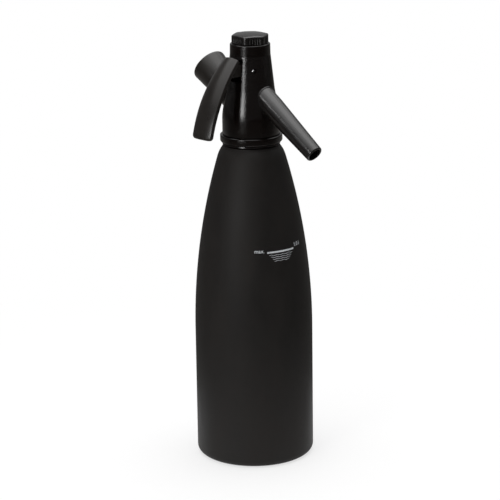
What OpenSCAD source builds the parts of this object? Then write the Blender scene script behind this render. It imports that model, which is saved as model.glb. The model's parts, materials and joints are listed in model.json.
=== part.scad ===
// Soda siphon: coated aluminium bottle with a screwed-on dispensing head.
// Origin at the centre of the standing face, +Z up, +X towards the spout,
// -X towards the charger inlet, -Y towards the squeeze lever.

/* [Bottle] */
// Outer diameter over the rubber coat
bottle_d = 90.6; // [86:0.2:96]
// Height of the ledge that the neck rises from
bottle_h = 245; // [235:1:260]
// Height where the long taper starts
straight_h = 100; // [80:1:120]
// Drop from the ledge to the top of the long taper
shoulder_drop = 9; // [8:0.5:11]
// Outer diameter at the top of the long taper
shoulder_d = 51.8; // [50:0.2:53]
// How far the shoulder draws in from there to the ledge
shoulder_in = 5; // [4.4:0.1:5.2]
// Rounding of the bottom edge
foot_r = 5; // [4:0.5:8]
// Wall of the aluminium bottle
wall_t = 1.6; // [1.2:0.1:2.4]
// Thickness of the rubber coat
coat_t = 1; // [0.6:0.1:1.2]
// Step that keeps the coat clear of the table
coat_lift = 0.3; // [0.2:0.1:0.6]

/* [Neck] */
// Diameter of the plain neck that carries the collar
neck_d = 34.4; // [34.2:0.1:35]
// Height of the neck above the ledge
neck_h = 22; // [21:0.5:24]
// Bore of the bottle's mouth
mouth_d = 25; // [24.5:0.5:27]
// Crest diameter of the neck thread
neck_thread_d = 33.6; // [33:0.1:34]
// Pitch of the neck thread
neck_pitch = 3; // [2.6:0.1:3.2]
// Number of ridges on the neck thread
neck_turns = 4; // [2:1:4]
// Depth of every thread on the siphon
thread_t = 0.9; // [0.6:0.1:1]
// Diameter of the collar ring below the head
collar_d = 47.2; // [46:0.2:49]
// Height of the collar ring
collar_h = 8.1; // [7.6:0.1:8.6]
// Rounding of the collar's lower edge
collar_round = 3; // [2:0.2:3.4]

/* [Head] */
// Height of the head from its lower edge to its top ring
head_h = 68.8; // [68:0.2:74]
// Diameter of the straight skirt
skirt_d = 43.6; // [43:0.2:45]
// Height of the straight skirt
skirt_h = 11.6; // [10:0.2:13]
// Height where the curved flank meets the cone
flank_h = 35.6; // [34:0.2:38]
// Diameter where the curved flank meets the cone
flank_d = 36; // [35.4:0.2:37]
// Height of the crease below the top band
crease_h = 60; // [59.6:0.2:62]
// Diameter at the crease
crease_d = 30.7; // [30.2:0.1:31.4]
// Diameter of the top ring
top_d = 30.3; // [29.8:0.1:31]
// Wall of the threaded metal insert
insert_t = 1.8; // [1.4:0.1:2]
// Thickness of the gasket on the bottle's mouth
gasket_t = 2.5; // [2:0.1:3]
// Diameter of the cavity that the lever works in
cavity_d = 18.6; // [18.2:0.2:19.4]
// Width of the slot for the lever
slot_w = 12.4; // [12:0.2:13.4]
// Height of the slot for the lever
slot_h = 16.8; // [16:0.2:17.6]

/* [Valve] */
// Diameter of the valve body's barrel
barrel_d = 17; // [16.4:0.2:17.4]
// Diameter of the valve body's flange
flange_d = 28; // [27:0.2:29]
// Thickness of the valve body's flange
flange_t = 2.5; // [2.2:0.1:2.8]
// Height of the valve seat above the flange
seat_rise = 8.3; // [8:0.1:9]
// Diameter of the opening in the valve seat
orifice_d = 5.2; // [4.8:0.1:5.6]
// Diameter of the chamber above the seat
chamber_d = 10.4; // [10:0.1:11]
// Height of the chamber above the seat
chamber_h = 11; // [11:0.1:12]
// Diameter of the valve stem
stem_d = 4; // [3.6:0.1:4.2]
// Thickness of the rubber washer on the seat
washer_t = 2.2; // [1.8:0.1:2.6]
// Outer diameter of the riser tube
riser_d = 8; // [7:0.1:8.6]
// Wall of the riser tube
riser_t = 0.8; // [0.5:0.1:1]
// Height of the riser tube's open end above the table
riser_foot = 8; // [6:0.5:20]
// Outer diameter of the valve spring
spring_d = 9; // [8.4:0.1:10]
// Wire of the valve spring
spring_wire = 1; // [0.8:0.1:1.2]
// Turns of the valve spring
spring_turns = 4.5; // [3:0.5:5]

/* [Lever] */
// Distance from the bottle's axis to the pivot pin
arm = 9; // [8.6:0.1:9.4]
// Height of the pivot pin above the floor of the cavity
pin_rise = 8.7; // [8.6:0.1:9.2]
// Diameter of the pivot pin
pin_d = 3; // [2.6:0.1:3.4]
// Width of the lever's blade
lever_w = 18.4; // [17:0.2:22]
// Width of the blade at its upper end
lever_top_w = 14; // [13:0.2:16]
// Thickness of the blade at its edges
lever_t = 3.8; // [3.2:0.1:4.4]
// Crown of the blade's outer face
lever_crown = 1.5; // [0.8:0.1:2]
// Radius of the bow of the blade's outer face
lever_bow_r = 105.2; // [90:0.2:130]
// Distance of the lower end out from the pin
lever_reach = 43.2; // [42:0.2:48]
// Distance of the lower end below the pin
lever_drop = 46; // [42:0.2:48]
// Distance of the upper end out from the pin
lever_stand = 10.9; // [10.8:0.1:12]
// Distance of the upper end above the pin
lever_top_rise = 9.3; // [8.8:0.1:9.6]

/* [Top cap] */
// Width of the cap across its flats
cap_af = 25.4; // [24.8:0.1:26]
// Diameter over the cap's rounded corners
cap_corner_d = 28.3; // [27.6:0.1:28.6]
// Height of the cap's flats
cap_side_h = 6; // [5.4:0.1:6.6]
// Height of the domed top above the flats
cap_dome_h = 1.4; // [1.2:0.1:2]
// Crest diameter of the cap's thread
cap_thread_d = 21.8; // [21.4:0.1:22.4]
// Length of the cap's threaded spigot
cap_spigot_l = 6.7; // [6:0.1:7]
// Pitch of the cap's thread
cap_pitch = 2; // [1.5:0.1:2]
// Number of ridges on the cap's thread
cap_turns = 2; // [1:1:2]
// Grip grooves on each flat
cap_grooves = 5; // [3:1:7]

/* [Spout] */
// Slope of the spout below level
spout_tilt = 34.3; // [32:0.1:36]
// Length of the spout from the bottle's axis to its tip
spout_l = 80.8; // [70:0.2:95]
// Diameter of the straight root that the spout leaves the head with
spout_root_d = 17; // [16.4:0.1:18]
// Distance from the bottle's axis where the spout begins to taper
spout_taper_at = 30; // [28:0.5:34]
// Diameter of the spout at its tip
spout_tip_d = 13; // [12:0.1:15]
// Bore of the spout
spout_bore_d = 9.8; // [9:0.1:10.4]
// Width of the trim ring around the root of the spout
spout_ring_w = 0.5; // [0.4:0.1:1.2]
// How far the trim ring stands proud of the head
spout_ring_proud = 0.4; // [0.2:0.1:1]

/* [Charger inlet] */
// Slope of the inlet above level
inlet_tilt = 36; // [34:0.5:38]
// Crest diameter of the inlet thread
inlet_thread_d = 15; // [14:0.1:15.6]
// Pitch of the inlet thread
inlet_pitch = 2; // [1.6:0.1:2.4]
// Number of ridges on the inlet thread
inlet_turns = 6; // [4:1:7]
// Length of the inlet cap
inlet_cap_l = 26.4; // [24:0.2:32]
// Diameter of the inlet cap at its open end
inlet_cap_d = 23.2; // [22:0.2:24]
// Diameter of the inlet cap at its closed end
inlet_cap_end_d = 27.8; // [26:0.2:30]
// Rounding of the closed end
inlet_cap_round = 2; // [1:0.1:3]
// Wall of the inlet cap's outer shell
inlet_cap_t = 1.8; // [1.2:0.1:2]

/* [Clearances] */
// Space between pieces that are seated together
fit_gap = 0.05; // [0.02:0.01:0.1]
// Radial running clearance of the pin and the stem
run_gap = 0.05; // [0.02:0.01:0.1]
// Space between pieces that move apart
free_gap = 0.3; // [0.3:0.05:0.4]
// Space on both sides of a gasket between moving pieces
seat_gap = 0.1; // [0.05:0.01:0.15]

/* [Hidden] */
$fn = 72;
// Overlap that makes a cut clean
eps = 0.01;
// Small edge breaks on turned and moulded pieces
edge = 0.4;
// Length of a cut that goes past everything
far = 120;

// Bottle outline
bottle_r = bottle_d / 2;
taper_top = [shoulder_d / 2, bottle_h - shoulder_drop];
taper_in = bottle_r - taper_top.x;
taper_up = taper_top.y - straight_h;
taper_r = (taper_up * taper_up + taper_in * taper_in) / (2 * taper_in);
taper_a = asin(taper_up / taper_r);
ledge_edge = [taper_top.x - shoulder_in, bottle_h];
shoulder_n = [cos(taper_a), sin(taper_a)];
shoulder_chord = taper_top - ledge_edge;
shoulder_r = (shoulder_chord * shoulder_chord) / (2 * (shoulder_n * shoulder_chord));
shoulder_c = taper_top - shoulder_r * shoulder_n;
shoulder_a = atan2(ledge_edge.y - shoulder_c.y, ledge_edge.x - shoulder_c.x);
// Width of the coat's turned-in edge around the bare standing face
stand_in = 0.6;
// Radius of the bare standing face
stand_r = bottle_r - foot_r - stand_in;

// Heights up the axis
collar_top = bottle_h + collar_h;
head_z = collar_top + free_gap;
head_top = head_z + head_h;
top_edge = 0.3;
mouth_z = bottle_h + neck_h;
gasket_z = mouth_z + seat_gap;
ceiling_z = gasket_z + gasket_t + seat_gap;
seat_z = ceiling_z + flange_t + seat_rise;
chamber_top = seat_z + chamber_h;
// Length of the gland nut's thread inside the barrel
gland_l = 3.5;
cavity_z = chamber_top + gland_l;
pin_z = cavity_z + pin_rise;
pin_y = -arm;

// Neck
neck_r = neck_d / 2;
neck_crest = neck_thread_d / 2;
neck_root = neck_crest - thread_t;
mouth_r = mouth_d / 2;
// Plain length between the mouth and the first ridge
neck_lead = 1.5;
neck_thread_z = mouth_z - neck_lead - neck_pitch * neck_turns;

// Threaded insert in the head
insert_bore = neck_crest + free_gap;
insert_r = insert_bore + insert_t;
// How far the insert is set back into the head
insert_back = 0.6;
insert_z = head_z + insert_back;

// Valve: nose of the seat, washer in its cup, and the stem
barrel_r = barrel_d / 2;
chamber_r = chamber_d / 2;
orifice_r = orifice_d / 2;
nose_h = 0.8;
nose_w = 1;
washer_z = seat_z + nose_h + fit_gap;
// Ring of water around the washer, and how deep the washer sits in its cup
washer_room = 1.2;
washer_r = chamber_r - washer_room;
washer_deep = 1.4;
cup_t = 0.55;
cup_floor_t = 1.9;
cup_z = washer_z + washer_t - washer_deep;
cup_top = washer_z + washer_t + cup_floor_t;
stem_r = stem_d / 2;
screw_r = 1.2;
screw_head_r = 1.9;
screw_head_t = 1;
// Length of the washer's screw above the washer, and the depth of its hole
screw_grip = 2.6;
screw_hole = 5;
// Nose of the lever's fork, and the nut that it lifts
fork_r = 2;
lift_z = pin_z + fork_r + free_gap;
lift_t = 3;
lift_r = 4.6;
spring_z = lift_z + lift_t + fit_gap;
// Length of the stem above the lift nut
stem_tip = 4;
stem_top = lift_z + lift_t + stem_tip;
// Lower spigot of the valve body, with its nut and seal
spigot_l = 7.9;
spigot_wall = 2.4;
spigot_r = riser_d / 2 + spigot_wall;
spigot_z = ceiling_z - spigot_l;
riser_r = riser_d / 2;
// How far the riser tube goes in past the spigot
riser_in = 1.2;
riser_top = ceiling_z + riser_in;
// Notch that keeps the tube's open end from being sucked shut
riser_notch = 3;
tube_ring = 1.1;
tube_nut_wall = 1.5;
tube_nut_r = spigot_r + tube_nut_wall;
tube_nut_grip = 4.6;
tube_nut_top = spigot_z + tube_nut_grip;
tube_nut_floor = spigot_z - 2 * tube_ring - fit_gap;
tube_nut_floor_t = 1.8;
tube_nut_z = tube_nut_floor - tube_nut_floor_t;
tube_nut_hex_h = 3;
tube_nut_neck = 0.6;
// Gland nut around the stem, with the ring in its groove
gland_step = 1.3;
gland_r = chamber_r + gland_step;
gland_head_h = 3;
gland_head_af = 13.4;
gland_ring = 1.05;
gland_ring_up = 2.6;
gland_ring_z = chamber_top + gland_ring_up;
// Rings around the barrel
body_ring = 0.6;
body_ring_r = barrel_r - body_ring;
body_ring_up = 1.3;
body_ring_down = 1.5;
body_ring_z = [ceiling_z + flange_t + body_ring_up, cavity_z - body_ring_down];

// Top cap
cap_z = head_top + free_gap;
cap_bore_r = cap_thread_d / 2 + free_gap;
// Space below the cap's spigot and around the spring
cap_room = 1.5;
spring_room = 1.3;
cap_bore_z = head_top - cap_spigot_l - cap_room;
cap_pocket_r = spring_d / 2 + spring_room;
cap_pocket_h = 3;
// Hole above the pocket that takes the stem's tip
stem_room = 1;
stem_room_h = 2;
// Plain tip of the spigot's thread
cap_lead = 0.3;
cap_spigot_z = head_top - cap_spigot_l;
cap_ring = 0.75;
cap_ring_r = cap_thread_d / 2 - thread_t + cap_ring + fit_gap;
cap_ring_z = cap_z - cap_ring - fit_gap;
cap_top = cap_z + cap_side_h + cap_dome_h;
cap_dome_r = (pow(cap_af / 2, 2) + pow(cap_dome_h, 2)) / (2 * cap_dome_h);
spring_top = cap_spigot_z + cap_pocket_h - fit_gap;

// Lever blade: a bow of known radius through its two ends
blade_top = [pin_y - lever_stand, pin_z + lever_top_rise];
blade_end = [pin_y - lever_reach, pin_z - lever_drop];
blade_chord = blade_end - blade_top;
blade_mid = (blade_top + blade_end) / 2;
blade_in = [-blade_chord.y, blade_chord.x] / norm(blade_chord);
blade_c = blade_mid + blade_in * sqrt(pow(lever_bow_r, 2) - pow(norm(blade_chord) / 2, 2));
blade_a0 = atan2(blade_end.y - blade_c.y, blade_c.x - blade_end.x);
blade_a1 = atan2(blade_top.y - blade_c.y, blade_c.x - blade_top.x);
lever_corner = 2.8;
// Length of the blade's narrowing towards its upper end
blade_waist = 23;
blade_waist_in = (lever_w - lever_top_w) / 2;
blade_waist_r = (pow(blade_waist, 2) + pow(blade_waist_in, 2)) / (2 * blade_waist_in);
// Play between the lever's arm and both sides of the slot
arm_play = 0.8;
lever_arm_w = slot_w - arm_play;
boss_wall = 3;
boss_r = pin_d / 2 + boss_wall;
arm_step = 0.2;
fork_gap = stem_d + 1;
fork_wall = 3;
fork_t = 3;
// How far the fork's gap reaches past the stem's axis towards the pin
fork_deep = 0.5;

// Spout, measured along its own axis from the bottle's axis
// Height of the spout's axis above the valve seat, where it crosses the bottle's axis
spout_rise = 12;
spout_z = seat_z + spout_rise;
spout_r = spout_root_d / 2;
spout_t0 = 10;
// Length of a cut from there that passes through the head's wall
wall_cut = 30;
// Depth of the seat that the spout's root sinks into the head
spout_sink = 1.6;
tenon_r = 6.2;
tenon_t0 = 15.4;
pipe_r = 3;
pipe_bore = 1.9;
pipe_t0 = 8.5;
pipe_l = 18.5;
pipe_ring = 0.75;
pipe_ring_from_tenon = 8.4;
pipe_ring_at = tenon_t0 + pipe_ring_from_tenon;
// How far the ring is pressed into its groove in the pipe
pipe_ring_in = 0.1;
pipe_ring_groove = 0.15;
pipe_socket_r = pipe_r + 2 * pipe_ring - pipe_ring_in;
// Space between the pipe's end and the spout's bore
pipe_room = 2;
spout_step = pipe_t0 + pipe_l + pipe_room;
spout_lip = [0.7, 1.2];
spout_bore_r = spout_bore_d / 2;
ring_in = spout_r + fit_gap;

// Charger inlet, measured along its own axis from the bottle's axis
// Depth of the inlet's axis below the head's ceiling, where it crosses the bottle's axis
inlet_down = 2.7;
inlet_z = ceiling_z - inlet_down;
inlet_r = inlet_thread_d / 2;
boss_end = 30.3;
inlet_boss_in = 0.1;
inlet_boss_r = inlet_cap_d / 2 - inlet_boss_in;
sleeve_at = 14.6;
sleeve_l = 3.2;
sleeve_r = 3.3;
spigot_in_r = 2.4;
sleeve_room_r = 4.4;
sleeve_play = 0.4;
seat_at = sleeve_at + sleeve_l + sleeve_play;
seat_r = 5;
thread_at = 22;
stud_flange_t = 2;
stud_flange_r = 9;
stud_at = boss_end - stud_flange_t;
stud_l = 20;
stud_end = boss_end + stud_l;
neck_room_r = 4.7;
neck_room_l = 12;
charger_seal_t = 2;
pin_seat_r = 3;
pin_seat_l = 6;
filter_t = 1.5;
gas_bore = 1.2;
gas_x = 10.6;
gas_r = 1.4;
gas_l = 6;
// Cross hole under the check sleeve, and where the gas bore starts
gas_port_r = 0.6;
gas_port_at = sleeve_at + sleeve_l / 2 + 0.8;
gas_start = 1.4;
stud_lead = 0.6;
inlet_cap_at = boss_end + free_gap;
inlet_cap_end = inlet_cap_at + inlet_cap_l;
inlet_seal_t = 1.6;
inlet_seal_at = stud_end + seat_gap;
inlet_ceiling = inlet_seal_at + inlet_seal_t + seat_gap;
inlet_sleeve_t = 1.7;
inlet_sleeve_r = inlet_r + free_gap + inlet_sleeve_t;
// Solid end of the inlet cap beyond its slots
inlet_cap_floor = 6;

function arc_points(centre, r, from, to, steps) =
  [for (i = [0:steps]) centre + r * [cos(from + (to - from) * i / steps),
                                     sin(from + (to - from) * i / steps)]];

// Side of the bottle at a depth below the outside of the coat
function bottle_side(depth) = concat(
  arc_points([bottle_r - foot_r, foot_r], foot_r - depth, -90, 0, 8),
  arc_points([bottle_r - taper_r, straight_h], taper_r - depth, 0, taper_a, 16),
  arc_points(shoulder_c, shoulder_r - depth, taper_a, shoulder_a, 6));

function ends_at(points) = points[len(points) - 1];

// Curved flank of the head: level with the skirt below, in line with the cone above
function flank_slope() = (crease_d - flank_d) / 2 / (crease_h - flank_h);
function flank_radius(t) =
  (2 * t * t * t - 3 * t * t + 1) * skirt_d / 2
  + (3 * t * t - 2 * t * t * t) * flank_d / 2
  + (t * t * t - t * t) * flank_slope() * (flank_h - skirt_h);

// Outline of the head, with a depth below its surface that may be negative
function head_outline(depth) = concat(
  [[0, head_z], [skirt_d / 2 - depth - edge, head_z], [skirt_d / 2 - depth, head_z + edge]],
  [for (i = [0:16]) [flank_radius(i / 16) - depth, head_z + skirt_h + (flank_h - skirt_h) * i / 16]],
  [[crease_d / 2 - depth, head_z + crease_h], [top_d / 2 - depth, head_top - top_edge],
   [top_d / 2 - depth - top_edge, head_top], [0, head_top]]);

module along_spout(at = 0) {
  translate([0, 0, spout_z]) rotate([0, 90 + spout_tilt, 0]) translate([0, 0, at]) children();
}

module along_inlet(at = 0) {
  translate([0, 0, inlet_z]) rotate([0, inlet_tilt - 90, 0]) translate([0, 0, at]) children();
}

// Half section of a screw thread: ridges on a core, drawn as rings
module thread_section(core, crest, from, pitch, turns) {
  square_ring(0, core, from, pitch * turns);
  for (i = [0:turns - 1])
    translate([core - eps, from + pitch * i])
      polygon([
        [0, 0.1 * pitch], [crest - core, 0.35 * pitch], [crest - core, 0.6 * pitch], [0, 0.9 * pitch]]);
}

module square_ring(inner, outer, from, height) {
  translate([inner, from]) square([outer - inner, height]);
}

module tube(outer, inner, from, height) {
  rotate_extrude() square_ring(inner, outer, from, height);
}

module o_ring(mean, r, at) {
  translate([0, 0, at]) rotate_extrude($fn = 48) translate([mean, 0]) circle(r, $fn = 24);
}

// Solid of the side view, as wide as asked for along X
module side_plate(width) {
  rotate([90, 0, 90]) translate([0, 0, -width / 2]) linear_extrude(width) children();
}

module bottle() {
  outer = bottle_side(coat_t);
  inner = bottle_side(coat_t + wall_t);
  shell = concat(
    [[0, 0], [stand_r, 0], [stand_r, coat_t]],
    outer,
    [[ends_at(outer).x, bottle_h], [neck_root, bottle_h], [neck_root, mouth_z - 0.5],
     [neck_root - 0.5, mouth_z], [mouth_r + 0.4, mouth_z], [mouth_r, mouth_z - 0.4],
     [mouth_r, ends_at(inner).y + 1.5]],
    [for (i = [len(inner) - 1:-1:0]) inner[i]],
    [[0, inner[0].y]]);
  color("silver") rotate_extrude() {
    polygon(shell);
    square_ring(mouth_r + 1, neck_r, bottle_h - eps, collar_h);
    intersection() {
      thread_section(neck_root, neck_crest, neck_thread_z, neck_pitch, neck_turns);
      square_ring(mouth_r + 1, neck_crest, neck_thread_z, neck_h);
    }
  }
}

module bottle_coat() {
  outer = bottle_side(0);
  inner = bottle_side(coat_t - fit_gap);
  skin = concat(
    [[stand_r + fit_gap, coat_lift]],
    [for (p = outer) if (p.y > coat_lift) p],
    [[ends_at(inner).x, bottle_h]],
    [for (i = [len(inner) - 1:-1:0]) inner[i]],
    [[stand_r + fit_gap, inner[0].y]]);
  color("#2b2826") rotate_extrude() polygon(skin);
}

module neck_collar() {
  r = collar_d / 2;
  section = concat(
    [[neck_r + fit_gap, bottle_h], [r - collar_round, bottle_h]],
    arc_points([r - collar_round, bottle_h + collar_round], collar_round, -90, 0, 8),
    [[r, collar_top - 0.7], [r - 0.7, collar_top], [neck_r + fit_gap, collar_top]]);
  color("#141313") rotate_extrude() polygon(section);
}

module head_gasket() {
  color("#3a3836") tube(insert_r - 0.2, mouth_r + 0.1, gasket_z, gasket_t);
}

module head_body() {
  color("#161514") difference() {
    union() {
      rotate_extrude() polygon(head_outline(0));
      along_inlet() cylinder(h = boss_end, r = inlet_boss_r);
    }
    // Socket for the neck, the insert and the gasket
    tube(insert_r + fit_gap, 0, head_z - far, ceiling_z - head_z + far);
    tube(flange_d / 2 + fit_gap, 0, ceiling_z - eps, flange_t + eps);
    tube(barrel_r + fit_gap, 0, ceiling_z, cavity_z - ceiling_z + eps);
    // Cavity of the lever and thread of the top cap
    tube(cavity_d / 2, 0, cavity_z, cap_bore_z - cavity_z + eps);
    tube(cap_bore_r, 0, cap_bore_z, far);
    tube(cap_ring_r + cap_ring + 2 * seat_gap, 0, cap_ring_z - cap_ring - seat_gap, far);
    translate([-slot_w / 2, -far, cavity_z]) cube([slot_w, far, slot_h]);
    translate([-far / 2, pin_y, pin_z]) rotate([0, 90, 0]) cylinder(h = far, r = pin_d / 2 + fit_gap);
    // Seat of the spout, its tenon and the outlet pipe
    difference() {
      along_spout(spout_t0) cylinder(h = far, r = ring_in + spout_ring_w + fit_gap);
      rotate_extrude() polygon(head_outline(spout_sink + fit_gap));
    }
    along_spout(tenon_t0 - fit_gap) cylinder(h = 20, r = tenon_r + fit_gap);
    along_spout() cylinder(h = 20, r = pipe_r + fit_gap);
    // Room for the inlet stud, the check sleeve and the gas
    along_inlet(sleeve_at - fit_gap) cylinder(h = 20, r = sleeve_room_r);
    along_inlet(seat_at) cylinder(h = 20, r = seat_r + fit_gap);
    along_inlet(thread_at) cylinder(h = 20, r = inlet_r + fit_gap);
    along_inlet(stud_at) cylinder(h = 20, r = stud_flange_r + fit_gap);
    translate([-gas_x, 0, ceiling_z]) cylinder(h = gas_l, r = gas_r);
  }
}

module neck_insert() {
  color("goldenrod") tube(insert_r, insert_bore, insert_z, mouth_z - insert_z);
}

module spout() {
  color("#201e1d") difference() {
    union() {
      difference() {
        along_spout() rotate_extrude() polygon([
          [0, spout_t0], [spout_r, spout_t0], [spout_r, spout_taper_at],
          [spout_tip_d / 2, spout_l], [0, spout_l]]);
        rotate_extrude() polygon(head_outline(spout_sink));
      }
      along_spout(tenon_t0) cylinder(h = 20, r = tenon_r);
    }
    along_spout() cylinder(h = spout_step + 1, r = pipe_socket_r);
    along_spout(spout_step) cylinder(h = far, r = spout_bore_r);
    // Chamfered lip at the tip
    along_spout(spout_l) rotate_extrude() polygon([
      [spout_tip_d / 2 - spout_lip.x, eps], [spout_tip_d / 2 + 1, eps], [spout_tip_d / 2 + 1, -spout_lip.y]]);
  }
}

module spout_ring() {
  color("#141313") intersection() {
    difference() {
      along_spout(spout_t0) cylinder(h = wall_cut, r = ring_in + spout_ring_w);
      along_spout() cylinder(h = far, r = ring_in);
      rotate_extrude() polygon(head_outline(spout_sink));
    }
    rotate_extrude() polygon(head_outline(-spout_ring_proud));
  }
}

module outlet_pipe() {
  color("goldenrod") difference() {
    along_spout(pipe_t0) cylinder(h = pipe_l, r = pipe_r);
    along_spout() cylinder(h = far, r = pipe_bore);
    along_spout(pipe_ring_at) rotate_extrude()
      square_ring(pipe_r - pipe_ring_groove, pipe_r + 1, -pipe_ring - fit_gap, 2 * (pipe_ring + fit_gap));
  }
}

module spout_seal() {
  color("#3a3836") along_spout(pipe_ring_at)
    o_ring(pipe_r - pipe_ring_in + pipe_ring, pipe_ring - fit_gap, 0);
}

module valve_body() {
  color("goldenrod") difference() {
    rotate_extrude() difference() {
      union() {
        square_ring(0, spigot_r, spigot_z, spigot_l + eps);
        square_ring(0, flange_d / 2, ceiling_z, flange_t);
        square_ring(0, barrel_r, ceiling_z, cavity_z - ceiling_z);
      }
      square_ring(0, riser_r + fit_gap, spigot_z - eps, riser_top - spigot_z + fit_gap);
      square_ring(0, orifice_r, spigot_z, far);
      square_ring(orifice_r + nose_w, chamber_r, seat_z, chamber_h + eps);
      square_ring(0, chamber_r, seat_z + nose_h, chamber_h);
      square_ring(0, gland_r + fit_gap, chamber_top, far);
      for (z = body_ring_z)
        square_ring(barrel_r - 2 * body_ring - fit_gap, far,
                    z - body_ring - fit_gap, 2 * (body_ring + fit_gap));
    }
    along_spout() cylinder(h = far, r = pipe_bore);
    along_spout(pipe_t0 - fit_gap) cylinder(h = far, r = pipe_r + fit_gap);
    translate([-gas_x, 0, ceiling_z - 1]) cylinder(h = flange_t + 2, r = gas_r);
  }
}

module barrel_seals() {
  color("#3a3836") for (z = body_ring_z) o_ring(body_ring_r, body_ring, z);
}

module riser_tube() {
  color("gainsboro") difference() {
    tube(riser_r, riser_r - riser_t, riser_foot, riser_top - riser_foot);
    translate([-far / 2, -riser_notch / 2, riser_foot - eps]) cube([far, riser_notch, riser_notch]);
  }
}

module tube_nut() {
  color("goldenrod") difference() {
    union() {
      translate([0, 0, tube_nut_z]) cylinder(h = tube_nut_hex_h, r = tube_nut_r, $fn = 6);
      tube(tube_nut_r - tube_nut_neck, 0, tube_nut_z, tube_nut_top - tube_nut_z);
    }
    tube(riser_r + fit_gap, 0, tube_nut_z - eps, far);
    tube(spigot_r + fit_gap, 0, tube_nut_floor, far);
  }
}

module tube_seal() {
  color("#3a3836") o_ring(riser_r + tube_ring + fit_gap, tube_ring, tube_nut_floor + tube_ring);
}

module gland_nut() {
  color("goldenrod") difference() {
    union() {
      tube(gland_r, 0, chamber_top, gland_l);
      translate([0, 0, cavity_z]) cylinder(h = gland_head_h, r = gland_head_af / sqrt(3), $fn = 6);
    }
    tube(stem_r + run_gap, 0, chamber_top - eps, far);
    tube(stem_r + 2 * gland_ring + 0.2, 0, gland_ring_z - gland_ring - fit_gap, 2 * (gland_ring + fit_gap));
  }
}

module stem_seal() {
  color("#3a3836") o_ring(stem_r + run_gap + gland_ring, gland_ring, gland_ring_z);
}

module valve_stem() {
  color("silver") rotate_extrude() difference() {
    union() {
      square_ring(0, washer_r + cup_t, cup_z, cup_top - cup_z);
      polygon([
        [0, cup_z], [stem_r, cup_z], [stem_r, stem_top - edge], [stem_r - edge, stem_top], [0, stem_top]]);
    }
    square_ring(0, washer_r + fit_gap, cup_z - eps, washer_z + washer_t + fit_gap - cup_z);
    square_ring(0, screw_r + fit_gap, cup_z, screw_hole);
  }
}

module valve_washer() {
  color("#3a3836") tube(washer_r, screw_r + fit_gap, washer_z, washer_t);
}

module washer_screw() {
  color("silver") rotate_extrude() {
    square_ring(0, screw_r, washer_z - fit_gap - eps, washer_t + screw_grip);
    square_ring(0, screw_head_r, washer_z - fit_gap - screw_head_t, screw_head_t);
  }
}

module lift_nut() {
  color("goldenrod") tube(lift_r, stem_r + fit_gap, lift_z, lift_t);
}

// One point of the coil's wire: a ring of points around the helix
function coil_ring(i, steps, mean, r, from, rise, turns, sides) =
  let (a = 360 * turns * i / steps, z = from + rise * i / steps)
  [for (k = [0:sides - 1]) let (b = 360 * k / sides)
    [(mean + r * cos(b)) * cos(a), (mean + r * cos(b)) * sin(a), z + r * sin(b)]];

module coil(mean, r, from, height, turns) {
  sides = 8;
  steps = ceil(turns * 20);
  rings = [for (i = [0:steps]) coil_ring(i, steps, mean, r, from + r, height - 2 * r, turns, sides)];
  points = [for (ring = rings) for (p = ring) p];
  walls = [for (i = [0:steps - 1]) for (k = [0:sides - 1])
    let (a = i * sides + k, b = i * sides + (k + 1) % sides)
    [a, a + sides, b + sides, b]];
  caps = [[for (k = [0:sides - 1]) k], [for (k = [sides - 1:-1:0]) steps * sides + k]];
  polyhedron(points, concat(walls, caps));
}

module valve_spring() {
  color("silver") coil((spring_d - spring_wire) / 2, spring_wire / 2, spring_z,
                       spring_top - spring_z, spring_turns);
}

// Section of the blade: radius outwards, width along the pivot's axis
module blade_section() {
  half = lever_w / 2;
  crown_r = (half * half + lever_crown * lever_crown) / (2 * lever_crown);
  crown_a = asin(half / crown_r);
  polygon(concat(
    [[lever_bow_r - lever_t, half], [lever_bow_r - lever_t, -half]],
    arc_points([lever_bow_r + lever_crown - crown_r, 0], crown_r, -crown_a, crown_a, 12)));
}

// Outline of the blade seen from the front: narrow at the top, round corners below
module blade_outline() {
  half = lever_w / 2;
  waist = [half - blade_waist_r, blade_top.y - blade_waist];
  corner = [half - lever_corner, blade_end.y + lever_corner];
  side = concat(
    [[0, blade_end.y]],
    arc_points(corner, lever_corner, -90, 0, 6),
    arc_points(waist, blade_waist_r, 0, asin(blade_waist / blade_waist_r), 8),
    [[lever_top_w / 2 - 1, blade_top.y + 2], [0, blade_top.y + 2]]);
  polygon(side);
  mirror([1, 0]) polygon(side);
}

module lever() {
  color("#2c2a29") difference() {
    union() {
      intersection() {
        translate([0, blade_c.x, blade_c.y]) rotate([90, 0, -90]) rotate([0, 0, blade_a0 - 4])
          rotate_extrude(angle = blade_a1 - blade_a0 + 4, $fn = 180) blade_section();
        rotate([90, 0, 0]) linear_extrude(far) blade_outline();
      }
      // Arm from the blade through the slot to the pin
      intersection() {
        side_plate(lever_arm_w) {
          translate([pin_y, pin_z]) circle(boss_r);
          translate([pin_y - far, pin_z - boss_r + arm_step]) square([far, 2 * (boss_r - arm_step)]);
        }
        translate([-far / 2, blade_c.x, blade_c.y]) rotate([0, 90, 0])
          cylinder(h = far, r = lever_bow_r - 1, $fn = 180);
      }
      // Fork under the lift nut
      side_plate(fork_gap + 2 * fork_wall) {
        translate([pin_y, pin_z - fork_t / 2]) square([arm, fork_t]);
        translate([0, pin_z]) circle(fork_r);
      }
    }
    side_plate(lever_arm_w + 1) translate([pin_y, pin_z]) circle(pin_d / 2 + run_gap);
    translate([-fork_gap / 2, -fork_gap / 2 - fork_deep, pin_z - far / 2]) cube([fork_gap, far, far]);
  }
}

module lever_pin() {
  // Its ends stand a little proud of the head's side
  proud = 0.3;
  half = sqrt(pow(crease_d / 2 + edge, 2) - arm * arm) + proud;
  color("silver") translate([-half, pin_y, pin_z]) rotate([0, 90, 0]) cylinder(h = 2 * half, r = pin_d / 2);
}

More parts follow.
